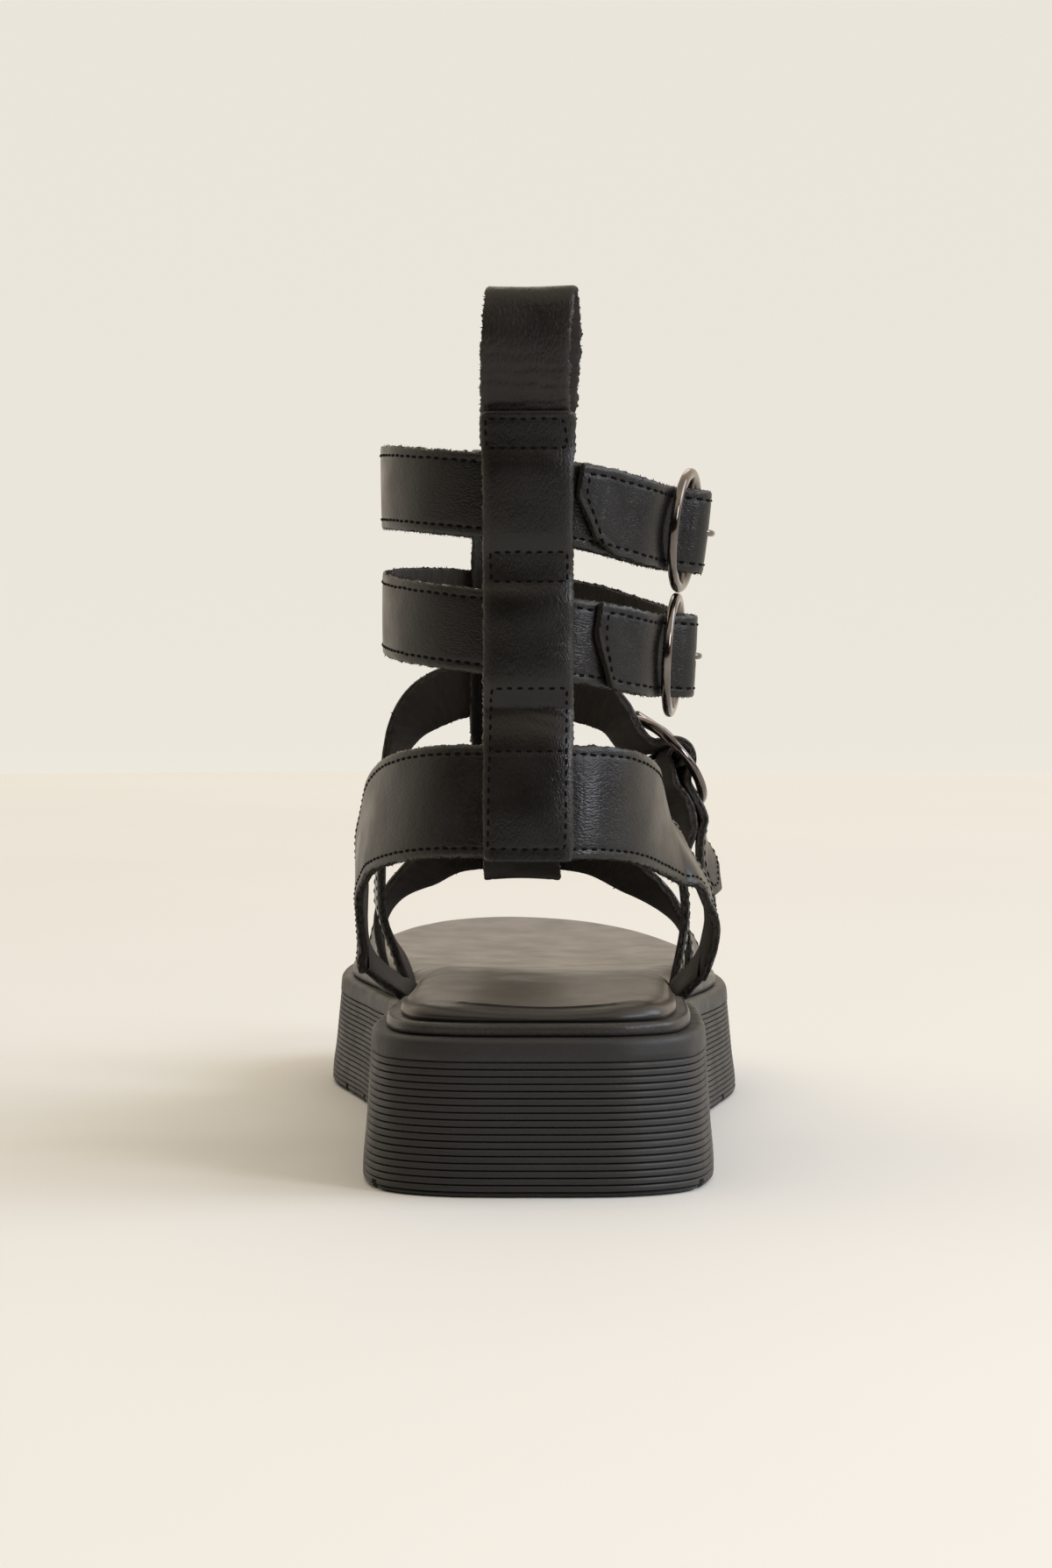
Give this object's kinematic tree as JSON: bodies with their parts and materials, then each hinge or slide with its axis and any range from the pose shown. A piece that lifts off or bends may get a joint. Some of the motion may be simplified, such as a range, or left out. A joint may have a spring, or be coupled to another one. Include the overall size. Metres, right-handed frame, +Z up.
{
  "type": "gladiator sandal",
  "caption": "Right flatform gladiator sandal: ribbed rubber sole, padded footbed and buckled leather straps rising to the ankle.",
  "frame": {"origin": "on the ground under the middle of the heel", "axes": "+Y towards the toes, +X towards the outer side of the right foot, +Z up"},
  "size_m": [0.1012, 0.258, 0.1888],
  "materials": {
    "strap_leather": "black grained leather, semi-matt, raw cut edges",
    "lining_leather": "black lining leather, matt",
    "footbed_leather": "smooth black leather over foam, soft sheen",
    "sole_rubber": "moulded black rubber, ribbed, matt",
    "thread": "black bonded polyester sewing thread",
    "gunmetal": "polished gunmetal plating"
  },
  "bodies": {
    "root": {"outsole": "sole_rubber", "insole_board": "footbed_leather", "footbed": "footbed_leather", "upper_rear": "strap_leather", "upper_front": "strap_leather", "pull_loop": "lining_leather", "ankle_strap_top": "strap_leather", "ankle_strap_middle": "strap_leather", "instep_buckle_strap": "strap_leather", "buckle_top": "gunmetal", "buckle_middle": "gunmetal", "buckle_instep": "gunmetal", "prong_top": "gunmetal", "prong_middle": "gunmetal", "prong_instep": "gunmetal"}
  },
  "joints": []
}
